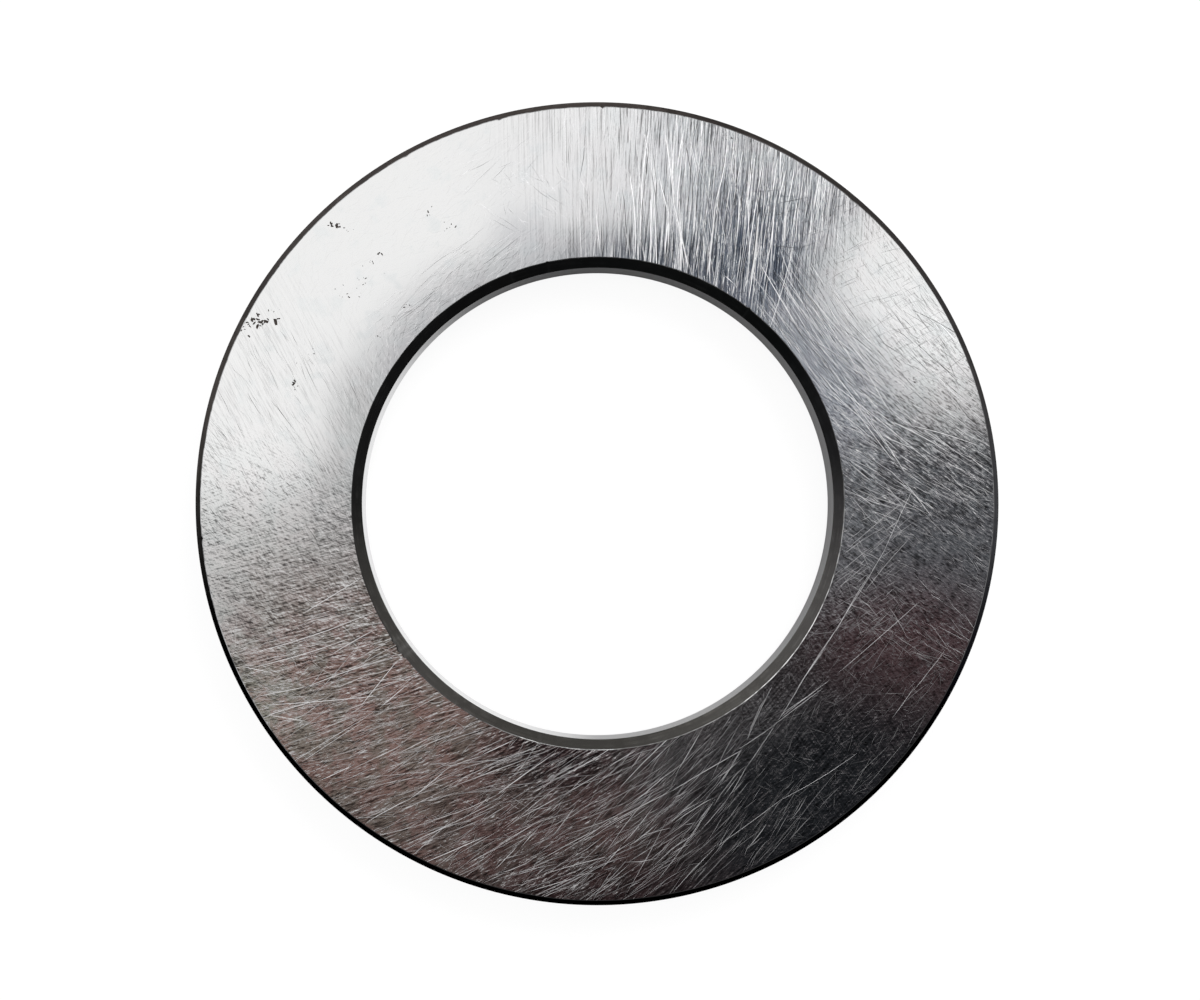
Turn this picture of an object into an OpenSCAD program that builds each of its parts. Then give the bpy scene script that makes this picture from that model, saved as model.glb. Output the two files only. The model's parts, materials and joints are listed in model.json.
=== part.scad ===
// Flat thrust washer, turned and ground from one piece of hardened bearing steel.
// Millimetres. The origin is the centre of the lower face, and +Z runs up the bore.

/* [Ring] */
// Diameter of the bore
bore_d = 40; // [10:0.5:46]
// Diameter of the rim
outer_d = 68; // [52:0.5:140]
// Thickness from face to face
thickness = 5; // [2.6:0.1:20]

/* [Edges] */
// Width of the 45 degree chamfer at both ends of the bore
bore_chamfer = 0.8; // [0.2:0.1:1.2]
// Width of the 45 degree chamfer at both ends of the rim
rim_chamfer = 0.5; // [0.2:0.1:1.2]
// Width of the worn bevel where a ground face meets a chamfer
edge_wear = 0.06; // [0.02:0.01:0.1]

/* [Hidden] */
$fn = 180;

bore_r = bore_d / 2;
rim_r = outer_d / 2;
// The worn bevel splits the corner's 45 degrees in half
wear_drop = edge_wear * tan(22.5);

// One corner of the section, from the cylindrical wall at wall_r to the face at face_z.
// in_metal is +1 where the metal lies outside wall_r and -1 where it lies inside it,
// and down is -1 at the upper face and +1 at the lower one.
function corner(wall_r, face_z, chamfer, in_metal, down) = [
    [wall_r, face_z + down * chamfer],
    [wall_r + in_metal * (chamfer - wear_drop), face_z + down * wear_drop],
    [wall_r + in_metal * (chamfer - wear_drop + edge_wear), face_z]
];

function backwards(points) = [for (i = [len(points) - 1 : -1 : 0]) points[i]];

// Half of the ring's section, from the bore wall round to the bore wall again
function ring_section() = concat(
    corner(bore_r, thickness, bore_chamfer, 1, -1),
    backwards(corner(rim_r, thickness, rim_chamfer, -1, -1)),
    corner(rim_r, 0, rim_chamfer, -1, 1),
    backwards(corner(bore_r, 0, bore_chamfer, 1, 1))
);

// The whole washer, turned as one ring
module thrust_washer() {
    color("silver")
        rotate_extrude()
            polygon(ring_section());
}

thrust_washer();
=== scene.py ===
"""A hardened steel thrust washer, ground flat and covered with fine scratches, lying on a white floor."""

import json
import math
import random

import bmesh
import bpy
import numpy as np
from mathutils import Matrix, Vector
from mathutils.geometry import delaunay_2d_cdt


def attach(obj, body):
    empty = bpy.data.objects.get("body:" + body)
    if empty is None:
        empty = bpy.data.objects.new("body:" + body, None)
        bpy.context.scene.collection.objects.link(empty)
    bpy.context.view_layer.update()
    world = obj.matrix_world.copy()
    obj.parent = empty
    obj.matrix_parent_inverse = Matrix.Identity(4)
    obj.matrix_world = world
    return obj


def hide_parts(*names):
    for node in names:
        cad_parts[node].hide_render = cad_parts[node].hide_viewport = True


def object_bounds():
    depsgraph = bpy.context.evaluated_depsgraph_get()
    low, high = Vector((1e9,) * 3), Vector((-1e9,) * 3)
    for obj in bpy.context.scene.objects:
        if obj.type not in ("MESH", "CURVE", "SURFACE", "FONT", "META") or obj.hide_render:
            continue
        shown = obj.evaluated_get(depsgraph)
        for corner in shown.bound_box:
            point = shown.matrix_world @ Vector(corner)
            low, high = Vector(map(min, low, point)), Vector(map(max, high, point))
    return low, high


MM = 0.001
NODE = "thrust_washer"
SEED = 41

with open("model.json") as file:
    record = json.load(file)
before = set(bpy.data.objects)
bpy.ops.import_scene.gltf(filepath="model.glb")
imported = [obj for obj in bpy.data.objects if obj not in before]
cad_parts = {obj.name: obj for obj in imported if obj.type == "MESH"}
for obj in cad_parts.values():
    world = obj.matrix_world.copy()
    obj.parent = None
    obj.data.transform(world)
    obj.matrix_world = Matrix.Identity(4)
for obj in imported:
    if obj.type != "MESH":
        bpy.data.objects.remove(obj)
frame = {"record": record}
cad_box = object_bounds()

# The washer's sizes in millimetres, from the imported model
mounts = {m["name"]: m["dims"] for m in frame["record"]["mounts"]}
THICKNESS = (cad_box[1].z - cad_box[0].z) / MM
BORE_R = mounts["bore"]["r_mm"]
RIM_R = mounts["rim"]["r_mm"]
BORE_CHAMFER = (THICKNESS - mounts["bore"]["length_mm"]) / 2
RIM_CHAMFER = (THICKNESS - mounts["rim"]["length_mm"]) / 2
EDGE_WEAR = 0.06
WEAR_DROP = EDGE_WEAR * math.tan(math.radians(22.5))
FACE_IN = BORE_R + BORE_CHAMFER - WEAR_DROP + EDGE_WEAR
FACE_OUT = RIM_R - RIM_CHAMFER + WEAR_DROP - EDGE_WEAR

# The camera that took the picture, fitted to the circles of the face, the chamfers and the bore
EYE = Vector((-4.31, -2.88, 165.4))
EYE_TILT = (math.radians(0.268), math.radians(-0.887), 0)
LENS = 57.04
SENSOR = 36
LENS_SHIFT = (0.0193, 0.0237)
NEAREST = 0.01
EYE_HEIGHT = EYE.z - THICKNESS


# Marks on the faces

# Grooves: their slope, a hairline's depth, the lengths up to which they have two and three pieces,
# how far inner points are pulled to the ends, and how far past an end still counts
GROOVE_SLOPE = 0.16
HAIRLINE_DEPTH = 0.0002
SHORT, LONG = 2.5, 5
END_PULL = 0.4
END_SLACK = 0.02
THINNEST = 1e-6
# Pits: their floor's share of the outline, their corners and how unevenly these are spread, and how
# drawn out and uneven the outline is
PIT_FLOOR = 0.55
PIT_CORNERS = (6, 9)
PIT_SPREAD = 0.7
PIT_STRETCH = 0.5
PIT_UNEVEN = (0.6, 1.2)


class Stroke:
    """One scratch: a V groove along a slightly bent line, in millimetres on the face."""

    def __init__(self, start, end, half_width, bend=0.0, tone=1.0, fine=False):
        a, b = np.array(start, float), np.array(end, float)
        along = b - a
        length = float(np.hypot(*along))
        across = np.array([-along[1], along[0]])
        pieces = 2 if fine or length < SHORT else 3 if length < LONG else 5
        share = np.linspace(0, 1, pieces + 1)
        share[1:-1] += (share[1:-1] - 0.5) * END_PULL
        self.middle = a + share[:, None] * along + (4 * bend * share * (1 - share))[:, None] * across
        run = np.gradient(self.middle, axis=0)
        run /= np.hypot(run[:, 0], run[:, 1])[:, None]
        self.side = np.c_[-run[:, 1], run[:, 0]]
        self.half = half_width * (1 - (2 * share - 1) ** 4) ** 0.5
        self.depth = np.full(len(share), HAIRLINE_DEPTH) if fine else self.half * GROOVE_SLOPE
        self.tone = tone
        self.fine = fine

    def lines(self):
        """The middle and the two sides of the groove, as open lines."""
        offset = (self.side * self.half[:, None])[1:-1]
        first, last = self.middle[:1], self.middle[-1:]
        inner = self.middle[1:-1]
        if self.fine:
            yield np.r_[first, inner + offset, last, inner - offset], True
            return
        yield self.middle, False
        yield np.r_[first, inner + offset, last], False
        yield np.r_[first, inner - offset, last], False

    def depth_at(self, points):
        """The groove's depth at each point, 0 outside it."""
        depth = np.zeros(len(points))
        for i in range(len(self.middle) - 1):
            a, b = self.middle[i], self.middle[i + 1]
            way = b - a
            long = np.hypot(*way)
            way = way / long
            p = points - a
            share = p @ way / long
            inside = (share > -END_SLACK) & (share < 1 + END_SLACK)
            share = share.clip(0, 1)
            half = np.maximum(self.half[i] + share * (self.half[i + 1] - self.half[i]), THINNEST)
            deep = self.depth[i] + share * (self.depth[i + 1] - self.depth[i])
            off = np.abs(p[:, 1] * way[0] - p[:, 0] * way[1]) / half
            depth = np.maximum(depth, deep * (1 - off) * inside)
        return depth

    def reach(self):
        """The lowest and highest x of the groove."""
        wide = self.half.max()
        return self.middle[:, 0].min() - wide, self.middle[:, 0].max() + wide


class Pit:
    """One small corroded pit: a many-sided hole with sloping sides, in millimetres on the face."""

    tone = -1.0

    def __init__(self, draw, middle, size, depth):
        self.middle = np.array(middle, float)
        count = draw.randint(*PIT_CORNERS)
        turn = draw.uniform(0, math.pi)
        steps = np.arange(count) + [draw.uniform(0, PIT_SPREAD) for _ in range(count)]
        self.angles = np.sort(steps * 2 * math.pi / count)
        stretch = 1 + PIT_STRETCH * np.cos(2 * (self.angles - turn))
        self.radii = size / 2 * stretch * np.array([draw.uniform(*PIT_UNEVEN) for _ in range(count)])
        self.depth = depth

    def lines(self):
        outline = self.middle + circle(self.radii, self.angles)
        yield outline, True
        yield self.middle + (outline - self.middle) * PIT_FLOOR, True

    def depth_at(self, points):
        p = points - self.middle
        corners = circle(self.radii, self.angles)
        after = np.roll(corners, -1, 0)
        edge = after - corners
        spin = (np.arctan2(p[:, 1], p[:, 0]) - self.angles[0]) % (2 * math.pi) + self.angles[0]
        k = np.searchsorted(self.angles, spin, side="right") - 1
        c, e = corners[k], edge[k]
        share = (p[:, 0] * e[:, 1] - p[:, 1] * e[:, 0]) / (c[:, 0] * e[:, 1] - c[:, 1] * e[:, 0])
        return self.depth * ((1 - share) / (1 - PIT_FLOOR)).clip(0, 1)

    def reach(self):
        return self.middle[0] - self.radii.max(), self.middle[0] + self.radii.max()


def circle(radius, angles):
    return np.c_[radius * np.cos(angles), radius * np.sin(angles)]


def polar(angle, radius):
    a = math.radians(angle)
    return np.array([radius * math.cos(a), radius * math.sin(a)])


def strokes_in_sector(draw, count, sector, lean, length, half, tone, dark):
    """count scratches whose middles lie in a sector (from angle, to angle, from radius, to radius).
    lean is (degrees at the first angle, degrees at the last, spread), tone a range from dull to bright,
    and dark the share of scratches that are filled with dirt. Most are hairlines."""
    made = []
    for _ in range(int(count * CROWD)):
        share = draw.random()
        angle = sector[0] + share * (sector[1] - sector[0])
        radius = math.sqrt(draw.uniform(sector[2] ** 2, sector[3] ** 2))
        way = math.radians(lean[0] + share * (lean[1] - lean[0]) + draw.gauss(0, lean[2]))
        long = length[0] + (length[1] - length[0]) * draw.random() ** 2
        reach = np.array([math.cos(way), math.sin(way)]) * long / 2
        middle = polar(angle, radius)
        width = half[0] + (half[1] - half[0]) * draw.random() ** 2
        fine = draw.random() > GROOVE_SHARE
        shade = tone[0] + (tone[1] - tone[0]) * draw.random() ** 1.5
        if draw.random() < dark:
            shade = draw.uniform(*DIRTY)
        made.append(Stroke(middle - reach, middle + reach, width, draw.gauss(0, BEND), shade, fine))
    return made


# Scratches drawn by chance: a factor on their numbers, the share of true grooves, how much they bend,
# and the tones of those filled with dirt
CROWD = 0.92
GROOVE_SHARE = 0.15
BEND = 0.025
DIRTY = (0, 0.06)
# Ranges of half width in millimetres
THIN = (0.007, 0.015)
CRISP = (0.009, 0.023)
MID = (0.010, 0.028)
BOLD = (0.020, 0.055)
# Each group: how many scratches, their sector, lean, lengths, half widths and tones, and the dirty share
SCRATCH_GROUPS = {
    "top, leaning right": (230, (50, 78, 21, 33.2), (80, 88, 3), (2, 11), MID, (0.5, 1), 0.2),
    "top, upright": (140, (76, 96, 21, 33.2), (88, 92, 5), (2, 11), MID, (0.6, 1), 0.2),
    "top, leaning left": (50, (66, 86, 21, 32), (102, 98, 3), (2, 10), MID, (0.7, 1), 0.1),
    "top, bold": (46, (54, 84, 21, 33.2), (81, 92, 3), (3, 12), BOLD, (0.85, 1), 0.12),
    "top, dark": (90, (56, 76, 21, 30), (82, 88, 3), (1.5, 7), MID, (0, 0.2), 0.8),
    "top, level": (30, (50, 72, 21, 31), (8, 4, 8), (1, 4), THIN, (0, 0.2), 0.8),
    "upper left, by the bore": (150, (108, 142, 20.9, 25), (38, 46, 6), (1, 5), THIN, (0.6, 1), 0.2),
    "upper left, outside": (60, (96, 115, 27, 32), (36, 40, 8), (1, 4), THIN, (0.6, 1), 0.1),
    "upper left, crossed": (100, (92, 112, 24, 29), (-42, -42, 14), (0.8, 3), THIN, (0.6, 1), 0.1),
    "left, steep": (330, (150, 186, 22, 33), (-66, -44, 7), (1, 6), THIN, (0.5, 1), 0.3),
    "left, crossed": (360, (180, 212, 21.5, 33), (-30, -4, 30), (0.8, 4), THIN, (0.6, 1), 0.12),
    "lower left, shallow": (260, (202, 236, 21.2, 33.2), (13, 20, 12), (1.2, 9), CRISP, (0.6, 1), 0.25),
    "lower left, steep": (130, (206, 262, 21.2, 33), (44, 52, 10), (0.8, 3.5), THIN, (0.4, 1), 0.1),
    "lower left, crossed": (90, (198, 256, 21.2, 33), (-30, -12, 16), (0.6, 3), THIN, (0.5, 1), 0.1),
    "bottom left": (270, (232, 264, 21.2, 33.2), (20, 27, 11), (1.2, 9), CRISP, (0.6, 1), 0.25),
    "bottom": (250, (260, 286, 21.2, 33.2), (27, 36, 10), (1.2, 9), CRISP, (0.45, 1), 0.25),
    "bottom left, bold": (58, (214, 288, 21.2, 33.2), (15, 36, 5), (4, 12), MID, (0.85, 1), 0),
    "bottom, steep": (130, (262, 296, 21.2, 33), (54, 60, 6), (1, 4), THIN, (0.1, 0.8), 0),
    "bottom right, steep": (180, (278, 304, 21.2, 33), (42, 54, 6), (1.5, 7), MID, (0.1, 0.7), 0),
    "lower right, crossed": (460, (300, 338, 21.2, 33), (30, 40, 45), (0.6, 2.5), THIN, (0.12, 0.45), 0),
    "lower right, long": (60, (304, 340, 24, 33), (42, 52, 6), (2, 7), THIN, (0.1, 0.5), 0),
    "right, falling": (480, (-26, 4, 22, 33.2), (-34, -32, 14), (0.7, 4), THIN, (0.2, 0.9), 0.2),
    "right, rising": (120, (-28, 2, 20.9, 26), (38, 34, 7), (1, 4), THIN, (0.3, 1), 0.1),
    "upper right, falling": (430, (0, 34, 22, 33.2), (-30, -46, 8), (1.2, 7), MID, (0.4, 1), 0.3),
    "upper right, by the bore": (240, (26, 52, 20.9, 27), (-48, -60, 5), (1.2, 7), MID, (0.5, 1), 0.3),
    "upper right, outside": (140, (18, 52, 26, 33), (28, 20, 6), (1, 4), THIN, (0, 0.3), 0.5),
}

# Single scratches that stand out, read off the photograph: two ends each, their half width and tone
THREAD, FINE, CLEAR, STRONG, BROAD = 0.011, 0.016, 0.025, 0.034, 0.06
BRIGHT, SOFT, DARK = 1, 0.75, 0.05
LONG_SCRATCHES = {
    "right, from the kink down": (THREAD, BRIGHT, [
        (26.7, 1.4, 24.1, -4.2), (24.3, -3.8, 20.9, -9.4), (21.7, -8, 17.1, -15.1),
        (17.3, -14.8, 14.9, -18.7), (20.3, -10.4, 16.2, -16.8), (19.4, -12, 16.6, -15.9),
        (22.9, -6, 20, -11)]),
    "right, from the kink inwards": (THREAD, SOFT, [
        (26.2, 0.5, 21, -3.9), (23, -2.6, 20.6, -4.4), (23.2, -3.6, 20.3, -6), (22.8, -5, 20.1, -7.3),
        (26.4, -2.9, 22.5, -7.5), (23.4, -1.8, 21.3, 0.7)]),
    "right, from the kink up, and across": (FINE, BRIGHT, [
        (26, 2.5, 23, 7), (23.4, 6.6, 19.4, 11.8), (25.4, 3, 21.5, 8.2), (24.6, 4.6, 21, 9.4),
        (28.4, -1.4, 25.6, 2.2), (22.4, 11.8, 24.6, 7.8), (24.6, 7.8, 26.6, 6.5), (26.4, 6.6, 32.4, 4.8),
        (28.5, 8.6, 31.8, 6), (24.6, 7, 29.8, 4.2), (19, 10.8, 28.4, 3.2)]),
    "lower right": (THREAD, BRIGHT, [
        (27.3, -8.2, 20.2, -14.4), (19.6, -14.9, 15.4, -18.1), (19, -15.6, 14.6, -18.9),
        (18.2, -16, 15.3, -18), (14.9, -18.7, 11.6, -20.9), (15.1, -18.4, 12.4, -22.4),
        (12.6, -22, 11, -24.8), (10.9, -24.9, 8.6, -27.6), (14.7, -15.4, 12.5, -20.1),
        (14.1, -16.4, 12.6, -19.8), (12.4, -20.2, 10.1, -24), (11, -22.4, 10.2, -23.8),
        (9.9, -24.9, 8, -28), (9.5, -25.3, 7.6, -28.6), (8.3, -27.3, 5, -31.8), (21.9, -21.1, 15.3, -25.1),
        (15.6, -24.9, 9.8, -29.1), (9.9, -29, 6.3, -32.8), (29.5, -12.2, 26.5, -16),
        (26.8, -15.4, 24.8, -18.2)]),
    "lower right, faint": (THREAD, 0.4, [
        (27.9, -15.2, 25.8, -16.9), (23.2, -21.2, 21, -24.8), (20.2, -22.6, 16.2, -27.6),
        (17.2, -26.1, 14.6, -29.3), (16.8, -27, 13.8, -30.4), (13.9, -27.4, 10.9, -29.6),
        (12.4, -28.2, 9.6, -30.8), (26, -20, 22.6, -24), (27.8, -17.8, 26, -20.9),
        (24.6, -20.4, 21.6, -23.2), (20.6, -23.8, 18.6, -25.8)]),
    "bottom, across": (FINE, BRIGHT, [
        (12.2, -20.8, 6, -24.4), (6.1, -24.3, 0.2, -27.4), (0.3, -27.3, -4.6, -29.9),
        (8.7, -19.2, 6.5, -22.9), (6.2, -22.5, 2.7, -25.5), (4.6, -25.6, 2, -28.8), (2, -28.8, 0.2, -30.9),
        (5, -27, 2.6, -28.9), (3.3, -20.8, 0.6, -22.4), (0.7, -22.4, -3.2, -24.7),
        (-3.1, -24.6, -7.2, -26.8), (3.9, -20.6, 2.6, -22.6), (-1.9, -25.4, -4, -28.2),
        (-4.7, -31.5, -6.6, -32), (-1.8, -31.6, -6, -32.8), (0.8, -29.8, -4.4, -31.2)]),
    "bottom left, across": (CLEAR, BRIGHT, [
        (-4, -21.3, -8.6, -24.6), (-12.7, -22.3, -16, -25), (-15.6, -24.8, -19.7, -27),
        (-9.6, -28.1, -14.7, -30.3), (-20.4, -21.9, -23.6, -23.4), (-7, -19.9, -10, -21.3)]),
    "bottom left, fine": (FINE, BRIGHT, [
        (-5.2, -20.6, -10, -22.4), (-9.5, -21.2, -12.8, -22.3), (-8.6, -24.6, -11.4, -25.9),
        (-8.8, -25.2, -16.6, -28.9), (-5, -26.8, -8.6, -28.9), (-5.3, -27.5, -6.6, -29.1),
        (-6.6, -28.6, -8.9, -31), (-19.8, -18.4, -25, -21.8), (-16.3, -20.2, -19.2, -21.6),
        (-13, -19.2, -17.4, -21.4)]),
    "left, long": (CLEAR, BRIGHT, [
        (-18.8, -9.1, -30, -12.8), (-18.5, -10.5, -22.7, -12.9), (-21, -11.4, -29, -13.8),
        (-30.2, -13.7, -27.3, -14.3), (-17.4, -13, -24.6, -15.5), (-24.4, -15.4, -28.9, -16.3),
        (-18.4, -16.2, -28.2, -17), (-28, -17.9, -23, -16.4), (-27.9, -17.8, -24.4, -18.4),
        (-16.9, -13.2, -20.1, -17.2), (-16, -15.2, -18.5, -17.3), (-20, -6.3, -24.9, -9.3)]),
    "top, white streaks": (BROAD, SOFT, [
        (5.6, 31.5, 6.4, 25), (6.3, 25.6, 7.6, 19.8), (9.9, 25.6, 9.2, 19.2), (13.6, 24.6, 13, 18.9),
        (15.9, 25.4, 15.6, 21.6)]),
    "top, clear lines": (STRONG, BRIGHT, [
        (2.6, 28, 3.1, 20.9), (10.9, 30.4, 9.9, 25.5), (9.6, 23, 9.4, 18.6), (13.5, 26.2, 12.7, 20.8),
        (13.1, 19.6, 12.7, 17), (15.9, 28.4, 15.2, 25.4), (16.6, 28.8, 15.9, 25), (18.7, 27.8, 18.2, 24.8),
        (18.1, 25, 17.9, 22.6), (7.2, 31.6, 6.6, 28)]),
    "top, fine lines": (CLEAR, BRIGHT, [
        (4.3, 31.8, 3.6, 24), (3.8, 27, 3.5, 21.6), (5.9, 24.8, 5.6, 20.5), (5.1, 27.8, 5.9, 24.6),
        (8.8, 31.2, 8.4, 27.5), (7.9, 26, 7.5, 22), (12.3, 30.2, 11.4, 25.4), (11.2, 27, 10.7, 23.8),
        (11.9, 26.6, 11.7, 22), (14, 29.6, 13.3, 25.6), (15.2, 29.4, 14.7, 26), (15, 25.8, 14.6, 20.6),
        (15.7, 21, 15.5, 19.2), (17.9, 27.4, 17.6, 25.2), (17.7, 25.8, 17.4, 23.9), (16.9, 25.4, 16.7, 22),
        (-0.3, 25.2, 0.1, 21), (11.3, 17.6, 11.5, 18.5), (11.5, 18.5, 10.6, 19.3)]),
    "top, dark lines": (CLEAR, DARK, [
        (11, 27, 10.7, 21.6), (10.5, 25.5, 10.3, 24), (10.2, 26.2, 10.1, 24.6), (8.3, 22, 8.2, 20.4),
        (6, 33, 5.9, 30.4), (5.2, 27.2, 5.8, 25.4), (7.3, 31, 8, 27.4), (9.2, 22.2, 9.1, 20),
        (14.2, 24, 14.1, 21.8), (15.2, 25.4, 17.8, 25.9), (14.4, 21.8, 17, 21.6), (16.1, 18.1, 16.9, 18.4),
        (12.2, 26.8, 12, 25), (17.2, 23.6, 17, 22)]),
}

# Clusters of pits: middle, spread in x and y, how many and their largest size
PIT_CLUSTERS = [
    ((-28.4, 15.3), (0.5, 0.4), 20, 0.6), ((-29.6, 15), (0.25, 0.35), 8, 0.35),
    ((-27.3, 16.2), (0.35, 0.15), 4, 0.18), ((-22.2, 23.5), (0.3, 0.2), 10, 0.5),
    ((-21.2, 23.2), (0.3, 0.2), 4, 0.2), ((-18.6, 21.1), (0.2, 0.15), 4, 0.35),
    ((-19.3, 20.2), (0.3, 0.2), 4, 0.2), ((-19.8, 18.9), (0.5, 0.4), 8, 0.2),
    ((-21.4, 17.7), (0.7, 0.4), 9, 0.22), ((-14.3, 24.4), (0.12, 0.25), 4, 0.3),
    ((-12.9, 23.3), (0.6, 0.2), 6, 0.25), ((-16.4, 16.8), (0.25, 0.5), 6, 0.22),
    ((-18.7, 14), (0.3, 0.1), 3, 0.18), ((-25.6, 10), (0.2, 0.3), 6, 0.4),
    ((-24.4, 12.6), (0.8, 1), 8, 0.18), ((11.1, 31), (0.4, 0.15), 5, 0.22),
    ((26.7, 10.4), (0.12, 0.12), 3, 0.25),
]
# The deepest pit, a factor on all sizes, the range of the smaller ones' sizes, and depth over size
PIT_DEPTH = 0.04
PIT_SIZE = 0.75
SMALLER_PITS = (0.25, 0.8)
PIT_SLOPE = 0.25


def top_marks():
    draw = random.Random(SEED)
    made = []
    for half, tone, ends in LONG_SCRATCHES.values():
        for x1, y1, x2, y2 in ends:
            made.append(Stroke((x1, y1), (x2, y2), half, draw.gauss(0, BEND / 2), tone))
    for group in SCRATCH_GROUPS.values():
        made += strokes_in_sector(draw, *group)
    for middle, spread, count, largest in PIT_CLUSTERS:
        for i in range(count):
            place = (draw.gauss(middle[0], spread[0]), draw.gauss(middle[1], spread[1]))
            size = largest * PIT_SIZE * (1 if i == 0 else draw.uniform(*SMALLER_PITS))
            made.append(Pit(draw, place, size, min(PIT_DEPTH, size * PIT_SLOPE)))
    return made


# The hidden face: how many groups of how many scratches, the sectors' widths in degrees and their radii,
# how far the lean turns and spreads in one, and the lengths, widths, tones and dirty share
HIDDEN_GROUPS, HIDDEN_COUNT = 8, 25
HIDDEN_WIDTHS, HIDDEN_RADII = (30, 70), (21.2, 33.2)
HIDDEN_TURN, HIDDEN_SPREAD = 15, 5
HIDDEN_LOOKS = (1, 7), MID, (0.5, 1), 0.2


def bottom_marks():
    """The hidden face's marks: a few scratches in every direction."""
    draw = random.Random(SEED + 1)
    made = []
    for _ in range(HIDDEN_GROUPS):
        angle = draw.uniform(0, 360)
        lean = draw.uniform(0, 180)
        sector = (angle, angle + draw.uniform(*HIDDEN_WIDTHS), *HIDDEN_RADII)
        leans = (lean, lean + HIDDEN_TURN, HIDDEN_SPREAD)
        made += strokes_in_sector(draw, HIDDEN_COUNT, sector, leans, *HIDDEN_LOOKS)
    return made


# Faces with their marks cut in

# In millimetres: how near counts as touching, the least depth, and how near points are merged
TOUCH = 1e-4
SHALLOWEST = 1e-5
MERGE = 2e-5


def inside_ring(points, inner, outer):
    """Which points lie between two outlines that are given as points in order of angle."""
    angle = np.arctan2(points[:, 1], points[:, 0])
    radius = np.hypot(points[:, 0], points[:, 1])

    def reach(outline):
        a = np.arctan2(outline[:, 1], outline[:, 0])
        order = np.argsort(a)
        return np.interp(angle, a[order], np.hypot(*outline.T)[order], period=2 * math.pi)

    return (radius > reach(inner) - TOUCH) & (radius < reach(outer) + TOUCH)


def deepest(points, marks):
    """How deep the deepest mark is at each point, and that mark's tone."""
    order = np.argsort(points[:, 0])
    at = points[order]
    depth, tone = np.zeros(len(at)), np.zeros(len(at))
    for mark in marks:
        low, high = mark.reach()
        first, last = np.searchsorted(at[:, 0], (low - TOUCH, high + TOUCH))
        here = mark.depth_at(at[first:last])
        deeper = here > np.maximum(depth[first:last], SHALLOWEST)
        depth[first:last][deeper] = here[deeper]
        tone[first:last][deeper] = mark.tone
    back = np.empty(len(at), int)
    back[order] = np.arange(len(at))
    return depth[back], tone[back]


def cut_face(marks, inner, outer):
    """Triangles of the ring between two outlines, with every mark cut into it.
    Returns the points with their depth, the triangles, and for each triangle its mark's tone or 0."""
    points, edges = [], []

    def add(line, closed):
        first, count = len(points), len(line)
        points.extend(line)
        edges.extend((first + i, first + (i + 1) % count) for i in range(count if closed else count - 1))

    add(inner, True)
    add(outer, True)
    for mark in marks:
        for line, closed in mark.lines():
            add(line, closed)
    flat = [Vector((float(x), float(y))) for x, y in points]
    done = delaunay_2d_cdt(flat, edges, [], 0, MERGE, False)
    at, tris = np.array([tuple(p) for p in done[0]]), np.array(list(done[2]))
    tris = tris[inside_ring(at[tris].mean(1), inner, outer)]
    used, tris = np.unique(tris, return_inverse=True)
    at, tris = at[used], tris.reshape(-1, 3)
    depth, _ = deepest(at, marks)
    _, tone = deepest(at[tris].mean(1), marks)
    return np.c_[at, depth], tris, tone


def border(points, tris, outer):
    """The points on the inner or outer border of a cut face, in order of angle."""
    sides = np.sort(np.concatenate([tris[:, [0, 1]], tris[:, [1, 2]], tris[:, [2, 0]]]), axis=1)
    sides, uses = np.unique(sides, axis=0, return_counts=True)
    rim = np.unique(sides[uses == 1])
    at = points[rim]
    half_way = (FACE_IN + FACE_OUT) / 2
    rim = rim[(np.hypot(at[:, 0], at[:, 1]) > half_way) == outer]
    return rim[np.argsort(np.arctan2(points[rim, 1], points[rim, 0]))]


# The whole ring

GROUND, SCRATCHED, PITTED, CHAMFERED, TURNED, WORN = range(6)
SEGMENTS = 360
# Places where an edge of the upper face is chipped: on the rim or not, angle, reach along it, depth
EDGE_CHIPS = [
    (False, 216.4, 1.1, 0.2), (False, 218.2, 0.8, 0.13), (False, 213.9, 0.7, 0.1),
    (False, 52.2, 0.5, 0.12), (False, 102, 0.4, 0.06), (False, 111, 0.5, 0.06),
    (False, 256, 0.6, 0.06), (True, 89.5, 0.35, 0.16), (True, 104.5, 0.5, 0.08),
    (True, 119, 0.6, 0.07), (True, 50, 0.7, 0.08), (True, 185.1, 0.35, 0.14),
]
# The outline's steps at a chip, in its reach, and the least step in degrees
CHIP_STEPS = (-1.2, -0.6, -0.25, 0.05, 0.35, 0.7, 1.25)
CLOSEST = 0.05
# How far the face's outlines wander in mm, in how many waves to a turn, how these are shifted, and how
# much of wander and chips the lower side of the worn bevel shares
EDGE_WANDER = 0.012
WAVES = (7, 19, 43, 71)
WAVE_SHIFT = 1.7
BEVEL_SHARE = 0.8


def ring_angles():
    """Even steps round the ring, with closer ones at the chips."""
    angles = list(np.arange(SEGMENTS) * 360 / SEGMENTS)
    for _, middle, reach, _ in EDGE_CHIPS:
        angles += [middle + reach * step for step in CHIP_STEPS]
    angles = np.unique(np.round(angles, 2))
    keep = np.r_[True, np.diff(angles) > CLOSEST]
    return np.radians(angles[keep])


def chipped(radius, angles, on_rim, share=1.0):
    """A circle on the upper face's edge, with its small wander and its chips."""
    wander = sum(np.sin(angles * n + n * WAVE_SHIFT) / 3 for n in WAVES) * EDGE_WANDER * share
    bite = np.zeros(len(angles))
    for where, middle, reach, depth in EDGE_CHIPS:
        if where == on_rim:
            off = (np.degrees(angles) - middle + 180) % 360 - 180
            bite = np.maximum(bite, depth * share * np.exp(-((off / reach) ** 2) * 2))
    return circle(radius + wander + (-bite if on_rim else bite), angles)


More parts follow.
